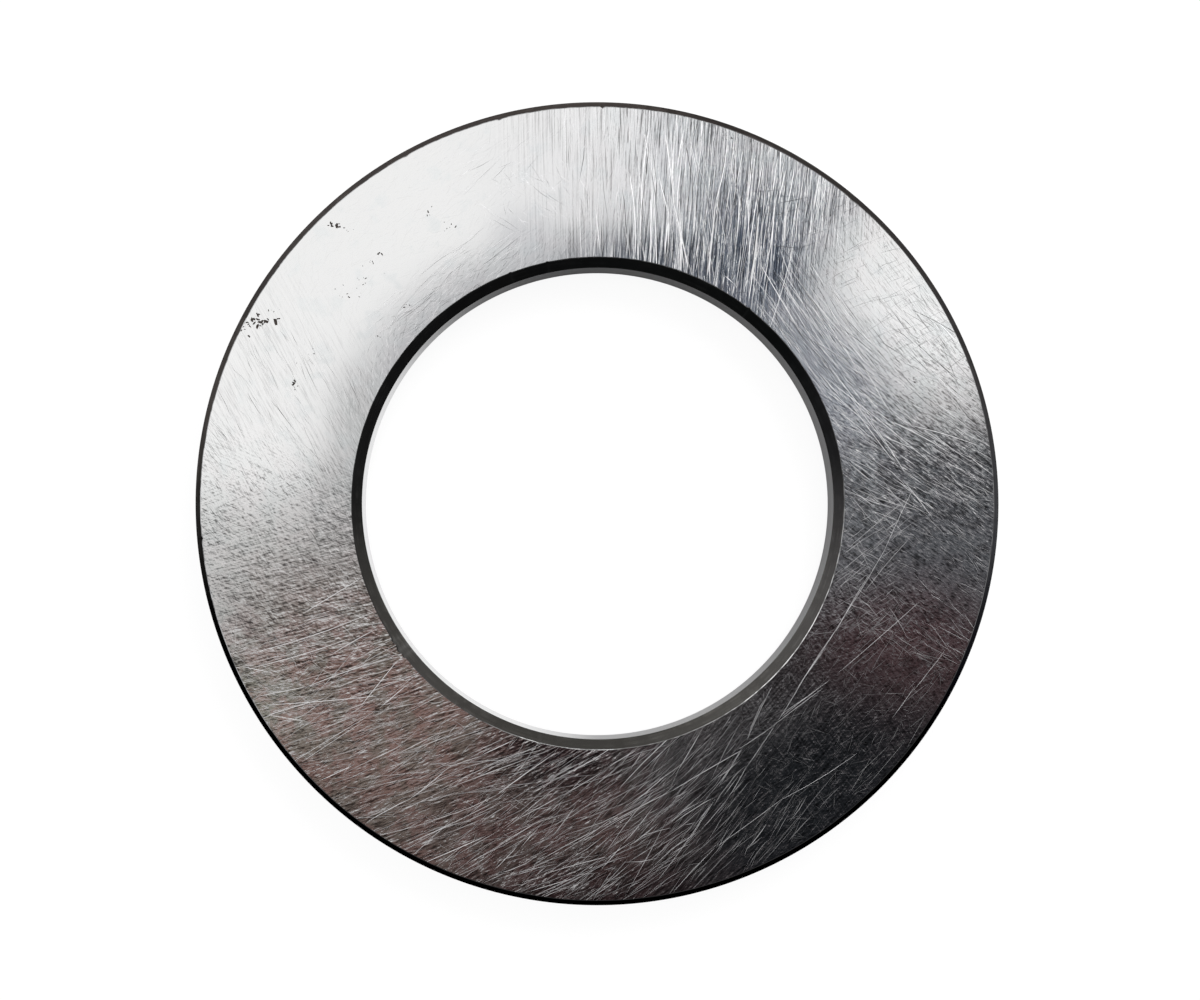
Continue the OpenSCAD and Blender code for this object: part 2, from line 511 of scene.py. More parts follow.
class Shell:
    """Collects the points and faces of one closed mesh."""

    def __init__(self):
        self.points, self.faces, self.kinds, self.tones = [], [], [], []

    def add(self, points):
        first = len(self.points)
        self.points.extend(points.tolist())
        return np.arange(first, first + len(points))

    def face(self, corners, kind, tone=0.0):
        self.faces.append([int(c) for c in corners])
        self.kinds.append(kind)
        self.tones.append(float(tone))

    def band(self, a, b, kind):
        """Quads between two rings of as many points."""
        for i in range(len(a)):
            j = (i + 1) % len(a)
            self.face((a[i], a[j], b[j], b[i]), kind)

    def by_angle(self, ring):
        """A ring's points from the lowest angle on, closed, and their angles."""
        at = np.array([self.points[i][:2] for i in ring])
        angles = np.arctan2(at[:, 1], at[:, 0])
        ring = np.roll(ring, -int(angles.argmin()))
        angles = np.sort(angles)
        return np.append(ring, ring[0]), np.append(angles, angles[0] + 2 * math.pi)

    def zip(self, a, b, kind):
        """Triangles between two rings of points in order of angle."""
        (a, a_angles), (b, b_angles) = self.by_angle(a), self.by_angle(b)
        steps = sorted([(angle, 0) for angle in a_angles[1:]] + [(angle, 1) for angle in b_angles[1:]])
        i = j = 0
        for _, on_b in steps:
            if on_b:
                self.face((a[i], b[j + 1], b[j]), kind)
                j += 1
            else:
                self.face((a[i], a[i + 1], b[j]), kind)
                i += 1


def lift(ring, z):
    return np.c_[ring, np.full(len(ring), z)]


def add_face(shell, marks, angles, upper):
    """The upper or lower ground face, and its borders as (inner ring, outer ring)."""
    share = 1.0 if upper else 0.0
    inner = chipped(FACE_IN, angles, False, share)
    outer = chipped(FACE_OUT, angles, True, share)
    points, tris, tones = cut_face(marks, inner, outer)
    z = THICKNESS - points[:, 2] if upper else points[:, 2]
    index = shell.add(np.c_[points[:, :2], z])
    for tri, tone in zip(tris, tones):
        kind = GROUND if tone == 0 else PITTED if tone < 0 else SCRATCHED
        shell.face(index[tri], kind, tone)
    return index[border(points, tris, False)], index[border(points, tris, True)]


def build_washer():
    shell = Shell()
    angles = ring_angles()
    top_in, top_out = add_face(shell, top_marks(), angles, True)
    low_in, low_out = add_face(shell, bottom_marks(), angles, False)
    sides = (
        (False, BORE_R, BORE_CHAMFER, 1, top_in, low_in),
        (True, RIM_R, RIM_CHAMFER, -1, top_out, low_out),
    )
    for on_rim, wall_r, chamfer, outward, top_ring, low_ring in sides:
        edge_r = wall_r + outward * (chamfer - WEAR_DROP)
        upper_edge = shell.add(lift(chipped(edge_r, angles, on_rim, BEVEL_SHARE), THICKNESS - WEAR_DROP))
        upper_wall = shell.add(lift(circle(wall_r, angles), THICKNESS - chamfer))
        lower_wall = shell.add(lift(circle(wall_r, angles), chamfer))
        lower_edge = shell.add(lift(circle(edge_r, angles), WEAR_DROP))
        shell.zip(top_ring, upper_edge, WORN)
        shell.band(upper_edge, upper_wall, CHAMFERED)
        shell.band(upper_wall, lower_wall, TURNED)
        shell.band(lower_wall, lower_edge, CHAMFERED)
        shell.zip(low_ring, lower_edge, WORN)
    return shell


def values_of(items, name, kind, width=1):
    """One value, or width values, of each vertex, edge, corner or face of a mesh."""
    values = np.empty(len(items) * width, kind)
    items.foreach_get(name, values)
    return values


def to_object(shell, name, materials):
    mesh = bpy.data.meshes.new(name)
    mesh.from_pydata([tuple(c * MM for c in p) for p in shell.points], [], shell.faces)
    kinds = np.array(shell.kinds, np.int32)
    mesh.polygons.foreach_set("material_index", kinds)
    mesh.polygons.foreach_set("use_smooth", np.isin(kinds, (CHAMFERED, TURNED)))
    tone = mesh.attributes.new("tone", "FLOAT", "FACE")
    tone.data.foreach_set("value", np.abs(np.array(shell.tones, np.float32)))
    mark_sharp_edges(mesh, kinds)
    turn_outward(mesh)
    lay_out(mesh, kinds)
    for material in materials:
        mesh.materials.append(material)
    return new_object(name, mesh)


def mark_sharp_edges(mesh, kinds):
    """Edges between surfaces of different kinds stay crisp."""
    corner_edge = values_of(mesh.loops, "edge_index", np.int32)
    kind_of_corner = np.repeat(kinds, values_of(mesh.polygons, "loop_total", np.int32))
    low, high = np.full(len(mesh.edges), kinds.max()), np.full(len(mesh.edges), kinds.min())
    np.minimum.at(low, corner_edge, kind_of_corner)
    np.maximum.at(high, corner_edge, kind_of_corner)
    mesh.edges.foreach_set("use_edge_sharp", low != high)


# The map for baking, in shares of its width: two square charts (middle and half size), the lower face's
# charts over the upper one's in size, and a stack of strips
FACE_CHART = (0.300, 0.300, 0.298)
SCRATCH_CHART = (0.805, 0.805, 0.193)
NESTED = 0.58
STRIP_LENGTH = 0.6
# Each strip: the kind of surface, on the rim or not, at the top or not, and the strip's height
STRIPS = [
    (TURNED, False, None, 0.05), (TURNED, True, None, 0.05),
    (CHAMFERED, False, True, 0.045), (CHAMFERED, False, False, 0.03),
    (CHAMFERED, True, True, 0.04), (CHAMFERED, True, False, 0.025),
    (WORN, False, True, 0.02), (WORN, False, False, 0.012),
    (WORN, True, True, 0.02), (WORN, True, False, 0.012),
]
STRIP_GAP = 0.008


def lay_out(mesh, kinds):
    """The map for baking. Scratches lie apart from the ground face, so that their tones don't mix,
    and the lower face's charts lie inside the bores of the upper one's. Walls and edges are strips."""
    corner = values_of(mesh.loops, "vertex_index", np.int32)
    first = values_of(mesh.polygons, "loop_start", np.int32)
    total = values_of(mesh.polygons, "loop_total", np.int32)
    point = values_of(mesh.vertices, "co", np.float32, 3).reshape(-1, 3)[corner] / MM
    face = np.repeat(np.arange(len(first)), total)
    middle = (np.add.reduceat(point, first) / total[:, None])[face]
    upper = middle[:, 2] > THICKNESS / 2
    on_rim = np.hypot(middle[:, 0], middle[:, 1]) > (FACE_IN + FACE_OUT) / 2
    kind = kinds[face]
    uv = np.zeros((len(corner), 2), np.float32)
    charts = ((FACE_CHART, np.isin(kind, (GROUND, PITTED))), (SCRATCH_CHART, kind == SCRATCHED))
    for chart, here in charts:
        scale = chart[2] / FACE_OUT * np.where(upper[here], 1, NESTED)
        uv[here] = np.array(chart[:2]) + point[here, :2] * scale[:, None]
    angle = np.arctan2(point[:, 1], point[:, 0])
    start = angle[first][face]
    angle = start + (angle - start + math.pi) % (2 * math.pi) - math.pi
    row = 1 - STRIP_GAP
    for what, rim_side, at_top, high in STRIPS:
        here = (kind == what) & (on_rim == rim_side)
        if at_top is not None:
            here &= upper == at_top
        z = point[here, 2]
        rise = (z - z.min()) / (z.max() - z.min())
        uv[here, 0] = STRIP_GAP + (angle[here] + math.pi) / (2 * math.pi) * (STRIP_LENGTH - 3 * STRIP_GAP)
        uv[here, 1] = row - high * (1 - rise)
        row -= high + STRIP_GAP
    layer = mesh.uv_layers.new(name="OFBake")
    layer.data.foreach_set("uv", uv.ravel())


def turn_outward(mesh):
    bm = bmesh.new()
    bm.from_mesh(mesh)
    bmesh.ops.recalc_face_normals(bm, faces=bm.faces)
    bm.to_mesh(mesh)
    bm.free()


# Node trees


class Graph:
    """Builds a node tree with short calls; each returns the socket that it makes."""

    def __init__(self, tree):
        self.tree = tree
        tree.nodes.clear()

    def node(self, kind, inputs=None, **settings):
        made = self.tree.nodes.new("ShaderNode" + kind)
        for name, value in settings.items():
            setattr(made, name, value)
        for name, value in (inputs or {}).items():
            if isinstance(value, bpy.types.NodeSocket):
                self.tree.links.new(value, made.inputs[name])
            else:
                made.inputs[name].default_value = value
        return made

    def math(self, operation, a, b=0.0):
        return self.node("Math", {0: a, 1: b}, operation=operation).outputs[0]

    def times(self, a, b):
        return self.math("MULTIPLY", a, b)

    def total(self, values):
        made = values[0]
        for value in values[1:]:
            made = self.math("ADD", made, value)
        return made

    def vector(self, operation, *values):
        return self.node("VectorMath", dict(enumerate(values)), operation=operation).outputs[0]

    def smooth(self, value, low, high, to_low=0.0, to_high=1.0):
        """to_low below low and to_high above high, with a soft step between."""
        inputs = {0: value, 1: low, 2: high, 3: to_low, 4: to_high}
        return self.node("MapRange", inputs, interpolation_type="SMOOTHSTEP").outputs[0]

    def line(self, value, low, high, to_low=0.0, to_high=1.0):
        return self.node("MapRange", {0: value, 1: low, 2: high, 3: to_low, 4: to_high}).outputs[0]

    def blend(self, share, a, b, way="MIX"):
        """Colour a where share is 0 and b where it is 1."""
        made = self.node("Mix", {0: share, 6: a, 7: b}, data_type="RGBA", blend_type=way)
        return made.outputs[2]

    def flat(self, x, y):
        return self.node("CombineXYZ", {0: x, 1: y}).outputs[0]

    def place(self, point, middle=(0, 0), turn=0.0, size=(1, 1)):
        """point seen from middle, turned back by turn degrees and divided by size."""
        spin = (0, 0, math.radians(turn))
        inputs = {"Vector": point, "Location": (*middle, 0), "Rotation": spin, "Scale": (*size, 1)}
        return self.node("Mapping", inputs, vector_type="TEXTURE").outputs[0]

    def split(self, point):
        return self.node("SeparateXYZ", {0: point}).outputs

    def length(self, point):
        return self.node("VectorMath", {0: point}, operation="LENGTH").outputs["Value"]

    def within(self, outward, middle, begins, full, to_low, to_high):
        """to_low far from an angle round the bore and to_high near it, all in degrees."""
        toward = (*polar(middle, 1), 0)
        product = self.node("VectorMath", {0: outward, 1: toward}, operation="DOT_PRODUCT")
        edges = [math.cos(math.radians(away)) for away in (begins, full)]
        return self.smooth(product.outputs["Value"], *edges, to_low, to_high)

    def noise(self, point, scale=1.0, detail=2.0, roughness=0.5):
        inputs = {"Vector": point, "Scale": scale, "Detail": detail, "Roughness": roughness}
        return self.node("TexNoise", inputs, noise_dimensions="2D").outputs["Fac"]


def face_point(graph):
    """A place on the washer in millimetres, from its own coordinates."""
    place = graph.node("TexCoord").outputs["Object"]
    return graph.node("VectorMath", {0: place, 3: 1 / MM}, operation="SCALE").outputs[0]


def new_material(name):
    made = bpy.data.materials.new(name)
    made.use_nodes = True
    return made, Graph(made.node_tree)


def finish_metal(graph, colour, roughness, tint=(1, 1, 1, 1)):
    inputs = {"Base Color": colour, "Metallic": 1, "Roughness": roughness, "Specular Tint": tint}
    shader = graph.node("BsdfPrincipled", inputs)
    graph.node("OutputMaterial", {"Surface": shader.outputs[0]})


# The fine grain round the ring: the angle round the bore, the grain's own angle, how strong it is,
# and how far its strokes spread, all but the strength in degrees
GRAIN_ROUND = [
    (-180, -40, 0.6, 40), (-168, -32, 0.7, 60), (-155, -12, 0.85, 80), (-145, 8, 0.75, 60),
    (-124, 18, 0.6, 56), (-100, 27, 0.55, 56), (-84, 34, 0.5, 50), (-69, 44, 0.45, 50),
    (-52, 40, 0.35, 110), (-35, 30, 0.35, 150), (-22, -20, 0.4, 120), (-10, -33, 0.6, 60),
    (5, -32, 0.8, 45), (17, -40, 0.7, 40), (30, -55, 0.4, 40), (40, -60, 0.35, 50), (50, -84, 0.8, 40),
    (62, -96, 1, 30), (83, -92, 0.4, 24), (97, -100, 0.12, 80), (112, -138, 0.06, 60),
    (135, -138, 0.05, 90), (150, -80, 0.08, 60), (165, -64, 0.14, 30), (180, -40, 0.6, 40),
]
GRAIN_FROM, GRAIN_SPAN = -140.0, 200.0
# The grain by the bore: the radii in mm where it is full and where it ends, and its strength there
BORE_GRAIN = (22, 25, 0.4, 0)
# Layers of short strokes: the cell that holds one stroke, half its length and width in mm, and its strength
STROKE_LAYERS = [
    (0.36, 0.17, 0.034, 0.4), (0.5, 0.24, 0.034, 0.45), (0.64, 0.31, 0.03, 0.6),
    (0.77, 0.37, 0.028, 0.65), (0.93, 0.45, 0.027, 0.7), (1.15, 0.56, 0.026, 0.8),
    (1.45, 0.71, 0.025, 0.9), (1.9, 0.93, 0.023, 1.00), (2.5, 1.23, 0.022, 1.00),
]
# How layers are shifted from each other, and where in its half length and width a stroke fades out
LAYER_SHIFT = (0.37, 0.61)
STROKE_END = 0.6
STROKE_SIDE = (0.5, 1.2)
# Fields of fine streaks, each field in one direction: its middle round the bore, how far it reaches
# to each side, the streaks' own angle, all in degrees, their length in mm and their strength
STREAK_FIELDS = [
    (172, 24, -62, 3, 0.14), (194, 20, -24, 3.6, 0.34), (196, 18, 20, 1.8, 0.34),
    (190, 18, -66, 1.6, 0.24), (203, 16, 12, 3, 0.45), (224, 24, 15, 2.6, 0.55),
    (250, 26, 24, 2.6, 0.6), (278, 22, 34, 2.6, 0.52), (299, 22, 50, 3, 0.5), (318, 22, 15, 1.6, 0.35),
    (322, 24, -55, 1.6, 0.35), (347, 22, -33, 2.2, 0.25), (8, 20, -34, 3, 0.35),
    (28, 14, -52, 3, 0.35), (66, 18, 85, 6, 0.62), (86, 12, 91, 6, 0.35), (204, 24, -8, 0.45, 0.42),
    (236, 30, 36, 0.8, 0.36), (272, 26, 50, 0.8, 0.32), (244, 40, -4, 0.6, 0.3), (318, 32, -5, 0.4, 0.4),
    (356, 26, -33, 0.45, 0.5),
]
STREAK_WIDTH = 0.15
STREAK_CONTRAST = 3.5
STREAK_NOISE = (1, 2, 0.6)
FIELD_BLEND = 10


def round_ramp(graph, angle, stops):
    """A colour that changes round the ring, from stops of (degrees from -180 to 180, colour)."""
    share = graph.line(angle, -math.pi, math.pi)
    made = graph.node("ValToRGB", {0: share})
    ramp = made.color_ramp
    ramp.elements.remove(ramp.elements[1])
    for i, (degrees, colour) in enumerate(stops):
        position = (degrees + 180) / 360
        element = ramp.elements[0] if i == 0 else ramp.elements.new(position)
        element.position = position
        element.color = (*colour, 1)
    return made.outputs[0]


def stroke_layer(graph, point, turn, spread, index, cell, half_length, half_width, strength):
    """Short straight strokes, one in each cell: from -1 where one is dull to 1 where one is bright."""
    shift = (index * LAYER_SHIFT[0], index * LAYER_SHIFT[1], index)
    cells = graph.vector("MULTIPLY_ADD", point, (1 / cell, 1 / cell, 0), shift)
    corner = graph.vector("FLOOR", cells)
    pick = graph.node("TexWhiteNoise", {"Vector": corner}, noise_dimensions="3D").outputs
    middle = graph.vector("MULTIPLY_ADD", pick["Color"], (-0.5, -0.5, 0), (-0.25, -0.25, 0))
    local = graph.vector("ADD", graph.vector("SUBTRACT", cells, corner), middle)
    chance = graph.split(pick["Color"])[2]
    lean = graph.math("ADD", turn, graph.times(spread, graph.math("SUBTRACT", chance, 0.5)))
    inputs = {"Vector": local, "Angle": lean}
    turned = graph.node("VectorRotate", inputs, rotation_type="Z_AXIS", invert=True)
    along, across, _ = graph.split(turned.outputs[0])
    reach, wide = half_length / cell, half_width / cell
    ends = graph.smooth(graph.math("ABSOLUTE", along), reach * STROKE_END, reach, 1, 0)
    fade = [wide * share for share in STROKE_SIDE]
    sides = graph.smooth(graph.math("ABSOLUTE", across), *fade, 1, 0)
    tone = graph.line(pick["Value"], 0, 1, -strength, strength)
    return graph.times(tone, graph.times(ends, sides))


def streak_field(graph, point, outward, middle, reach, lean, length, strength):
    """Fine streaks in one direction over one part of the ring: below 0 where dull, above 0 where bright."""
    edges = (reach + FIELD_BLEND, reach - FIELD_BLEND)
    share = graph.within(outward, middle, *edges, 0, strength * STREAK_CONTRAST)
    streaks = graph.noise(graph.place(point, turn=lean, size=(length, STREAK_WIDTH)), *STREAK_NOISE)
    return graph.times(share, graph.math("SUBTRACT", streaks, 0.5))


def grain(graph, point, outward):
    """The fine grain: how bright and how dull its strokes are at a place, and how strong it is there."""
    x, y, _ = graph.split(point)
    angle = graph.math("ARCTAN2", y, x)
    stops = [
        (at, ((turn - GRAIN_FROM) / GRAIN_SPAN, strength, spread / GRAIN_SPAN))
        for at, turn, strength, spread in GRAIN_ROUND
    ]
    parts = graph.split(round_ramp(graph, angle, stops))
    leans = [math.radians(lean) for lean in (GRAIN_FROM, GRAIN_FROM + GRAIN_SPAN)]
    turn = graph.line(parts[0], 0, 1, *leans)
    spread = graph.line(parts[2], 0, 1, 0, math.radians(GRAIN_SPAN))
    near_bore = graph.smooth(graph.length(point), *BORE_GRAIN)
    strength = graph.math("MAXIMUM", parts[1], near_bore)
    layers = [
        stroke_layer(graph, point, turn, spread, i + 1, *layer)
        for i, layer in enumerate(STROKE_LAYERS)
    ]
    fields = [streak_field(graph, point, outward, *field) for field in STREAK_FIELDS]
    tone = graph.math("ADD", graph.times(graph.total(layers), strength), graph.total(fields))
    bright = graph.math("MAXIMUM", tone, 0)
    dull = graph.math("MAXIMUM", graph.times(tone, -1.0), 0)
    return bright, dull, strength


# Parts of the face, each with its middle, where it begins and where it is full, in degrees round the bore,
# and its effect outside and inside: less scatter from strokes, patches of stain, blotches of dirt
MIRROR_PART = (316, 48, 28, 0.30, 0.16)
STAINED_PART = (245, 52, 26, 0.12, 1)
MOTTLED_PART = (351, 30, 14, 0, 0.35)
# Noises, each with its scale, detail and roughness, and the values between which it sets in
STAIN_NOISE, STAIN_RANGE = (0.42, 4, 0.6), (0.40, 0.60)
HAZE_NOISE, HAZE_RANGE = (0.45, 3, 0.55), (0.56, 0.72)
BLOTCH_NOISE, BLOTCH_RANGE = (0.7, 3, 0.6), (0.50, 0.62)
COOL_STAIN = (0.575, 0.70, 0.685, 1)
WARM_STAIN = (0.785, 0.67, 0.685, 1)
# Painted reflection: the haze patches' teal grey tint stands in for a pale sky mirrored in them; the
# roughness they add is real haze
HAZE_PAINTED_SKY = (0.60, 0.64, 0.65, 1)
HAZE_SHARE = 0.3
BARE_STEEL = (0.95, 0.95, 0.95, 1)
DIRT = (0.05, 0.045, 0.045, 1)
# How strongly dull strokes darken, how much dirt there is at most, and the face's roughness: polished,
# what haze adds, and the most
DULL_DIRT = 1.4
MOST_DIRT = 0.92
POLISHED = 0.057
HAZE_ROUGHNESS = 0.02
ROUGHEST = 0.4


def ground_steel():
    material, g = new_material("ground_steel")
    x, y, _ = g.split(face_point(g))
    point = g.flat(x, y)
    outward = g.vector("NORMALIZE", point)
    bright, dull, strength = grain(g, point, outward)
    patches = g.smooth(g.noise(point, *STAIN_NOISE), *STAIN_RANGE, -0.5, 0.5)
    stained = g.within(outward, *STAINED_PART)
    warmth = g.math("ADD", g.times(patches, g.times(strength, stained)), 0.5)
    haze_and_painted_sky = g.smooth(g.noise(point, *HAZE_NOISE), *HAZE_RANGE)
    # Painted reflection: haze patches are tinted teal grey as a mirrored pale sky would tint them
    stains_and_painted_sky = g.blend(g.times(haze_and_painted_sky, HAZE_SHARE), g.blend(warmth, COOL_STAIN, WARM_STAIN), HAZE_PAINTED_SKY)
    shiny = g.blend(g.math("MINIMUM", bright, 1), stains_and_painted_sky, BARE_STEEL)
    mottled = g.within(outward, *MOTTLED_PART)
    blotches = g.times(g.smooth(g.noise(point, *BLOTCH_NOISE), *BLOTCH_RANGE), mottled)
    dirt = g.math("ADD", g.times(dull, DULL_DIRT), blotches)
    colour = g.blend(g.math("MINIMUM", dirt, MOST_DIRT), shiny, DIRT)
    scatter = g.within(outward, *MIRROR_PART)
    rough = g.math("ADD", g.times(bright, scatter), g.times(haze_and_painted_sky, HAZE_ROUGHNESS))
    roughness = g.math("ADD", rough, POLISHED)
    finish_metal(g, colour, g.math("MINIMUM", roughness, ROUGHEST))
    return material


# Scratches and pits, from the dullest to the brightest: their colours and roughness; the pits' rust noise
SCRATCH_COLOURS = (0.02, 0.02, 0.02, 1), (0.92, 0.92, 0.93, 1)
SCRATCH_ROUGHNESS = (0.34, 0.45)
PIT_COLOURS = (0.03, 0.026, 0.023, 1), (0.12, 0.10, 0.09, 1)
PIT_ROUGHNESS = (0.5, 0.8)
RUST_NOISE, RUST_RANGE = (9, 3), (0.3, 0.7)


def scratched_steel():
    material, g = new_material("scratched_steel")
    tone = g.node("Attribute", attribute_name="tone").outputs["Fac"]
    finish_metal(g, g.blend(tone, *SCRATCH_COLOURS), g.line(tone, 0, 1, *SCRATCH_ROUGHNESS))
    return material


def pitted_steel():
    material, g = new_material("pitted_steel")
    rust = g.noise(face_point(g), *RUST_NOISE)
    finish_metal(g, g.blend(rust, *PIT_COLOURS), g.line(rust, *RUST_RANGE, *PIT_ROUGHNESS))
    return material


def around(graph):
    """The angle round the bore in radians, the height and the distance from the axis in millimetres."""
    x, y, z = graph.split(face_point(graph))
    return graph.math("ARCTAN2", y, x), z, graph.length(graph.flat(x, y))


def on_the_rim(graph, radius):
    return graph.math("GREATER_THAN", radius, (FACE_IN + FACE_OUT) / 2)


# Turning lines: their fineness along the ring and their noise
LINE_FINENESS = 4
LINE_NOISE = (1, 3, 0.6)


def turning_lines(graph, angle, height, fineness):
    """Fine lines round the ring, as a turning tool leaves them."""
    point = graph.flat(graph.times(angle, LINE_FINENESS), graph.times(height, fineness))
    return graph.noise(point, *LINE_NOISE)


def grey(*stops):
    return [(degrees, (tone, tone, tone)) for degrees, tone in stops]


# How the chamfers' and worn edges' base tones change round the ring, as painted reflection and painted
# highlight: the bare steel chamfers take the dark tones of a mirrored dark room, and the worn edges' bare
# steel glints where light would catch it
BORE_CHAMFER_PAINTED_REFLECTION = [
    (-180, (0.032, 0.032, 0.031)), (-165, (0.074, 0.073, 0.069)), (-135, (0.104, 0.102, 0.097)),
    (-115, (0.086, 0.084, 0.079)), (-85, (0.086, 0.084, 0.079)), (-60, (0.128, 0.126, 0.12)),
    (-40, (0.124, 0.121, 0.117)), (-20, (0.118, 0.115, 0.113)), (-5, (0.078, 0.076, 0.076)),
    (12, (0.026, 0.026, 0.027)), (40, (0.008, 0.009, 0.009)), (120, (0.012, 0.012, 0.012)),
    (165, (0.028, 0.028, 0.028)), (180, (0.032, 0.032, 0.031)),
]
RIM_CHAMFER_PAINTED_REFLECTION = [
    (-180, (0.02, 0.019, 0.018)), (-165, (0.004, 0.004, 0.004)), (-145, (0.001, 0.001, 0.001)),
    (-45, (0.001, 0.001, 0.001)), (-30, (0.004, 0.004, 0.005)), (-15, (0.016, 0.016, 0.018)),
    (0, (0.05, 0.05, 0.054)), (20, (0.042, 0.04, 0.04)), (75, (0.042, 0.037, 0.035)),
    (90, (0.06, 0.052, 0.049)), (140, (0.06, 0.054, 0.052)), (150, (0.044, 0.04, 0.038)),
    (165, (0.06, 0.054, 0.051)), (180, (0.02, 0.019, 0.018)),
]
# Worn edges: real bare steel, with a painted highlight whose strength changes round the ring
BORE_EDGE_WEAR_AND_GLINT = grey(
    (-180, 0.04), (-168, 0.015), (-118, 0.015), (-108, 0.2), (-75, 0.26), (-58, 0.34), (-53, 0.8),
    (-28, 0.85), (-20, 0.6), (-8, 0.5), (6, 0.16), (140, 0.06), (180, 0.04),
)
RIM_EDGE_WEAR_AND_GLINT = grey(
    (-180, 0.6), (-165, 0.6), (-150, 0.5), (-138, 0.12), (-128, 0.03), (-30, 0.03), (-18, 0.16),
    (0, 0.22), (20, 0.2), (35, 0.06), (70, 0.06), (88, 0.2), (105, 0.5), (160, 0.5), (172, 0.55),
    (180, 0.6),
)


def edge_tones(graph, angle, radius, bore, rim):
    """Painted reflection or painted highlight: one ramp round the bore and another one round the rim."""
    tones = [round_ramp(graph, angle, stops) for stops in (bore, rim)]
    return graph.blend(on_the_rim(graph, radius), *tones)


# The chamfers: fineness and range of their turning lines, noise and range of their worn spots, how much
# brighter these are, their roughness, and the tint that keeps them dark in slanting light
CHAMFER_LINES, CHAMFER_RANGE = 9, (0.4, 0.8)
SPOT_NOISE, SPOT_RANGE = (0.9, 4, 0.6), (0.35, 0.65)
SPOT_GAIN = (1.8, 1.8, 1.8, 1)
CHAMFER_ROUGHNESS = 0.2
CHAMFER_TINT = (0.4, 0.4, 0.4, 1)


def chamfered_steel():
    material, g = new_material("chamfered_steel")
    angle, height, radius = around(g)
    lines = turning_lines(g, angle, height, CHAMFER_LINES)
    spots = g.noise(face_point(g), *SPOT_NOISE)
    # Painted reflection: the chamfers' dark base tone changes round the ring as a mirrored dark room would
    # make it
    dark = edge_tones(g, angle, radius, BORE_CHAMFER_PAINTED_REFLECTION, RIM_CHAMFER_PAINTED_REFLECTION)
    worn = g.blend(1, dark, SPOT_GAIN, way="MULTIPLY")
    share = g.times(g.smooth(lines, *CHAMFER_RANGE), g.smooth(spots, *SPOT_RANGE))
    finish_metal(g, g.blend(share, dark, worn), CHAMFER_ROUGHNESS, CHAMFER_TINT)
    return material


# The walls of the bore and the rim: fineness and range of their turning lines, roughness, and their
# colours between the lines and on them
WALL_LINES, WALL_RANGE = 14, (0.35, 0.7)
WALL_ROUGHNESS = 0.30
BETWEEN_LINES = (0.78, 0.78, 0.78, 1), (0.58, 0.58, 0.585, 1)
ON_LINES = (0.66, 0.66, 0.67, 1), (0.42, 0.42, 0.425, 1)


def turned_steel():
    material, g = new_material("turned_steel")
    angle, height, radius = around(g)
    lines = turning_lines(g, angle, height, WALL_LINES)
    on_rim = on_the_rim(g, radius)
    colours = [g.blend(on_rim, *pair) for pair in (BETWEEN_LINES, ON_LINES)]
    finish_metal(g, g.blend(g.smooth(lines, *WALL_RANGE), *colours), WALL_ROUGHNESS)
    return material


# The worn edges: noise and range of their dirty patches, how far these cover, their colour, and roughness
PATCH_NOISE, PATCH_RANGE = (0.8, 3, 0.6), (0.42, 0.62)
PATCH_COVER = (0, 0.7)
PATCH_COLOUR = (0.03, 0.03, 0.03, 1)
EDGE_ROUGHNESS = 0.3


def worn_steel_painted_glint():
    material, g = new_material("worn_steel_painted_glint")
    angle, _, radius = around(g)
    # Painted highlight: the worn edges' base tone rises round the ring where they would glint
    base = edge_tones(g, angle, radius, BORE_EDGE_WEAR_AND_GLINT, RIM_EDGE_WEAR_AND_GLINT)
    patches = g.smooth(g.noise(face_point(g), *PATCH_NOISE), *PATCH_RANGE, *PATCH_COVER)
    finish_metal(g, g.blend(patches, base, PATCH_COLOUR), EDGE_ROUGHNESS)
    return material


# The studio

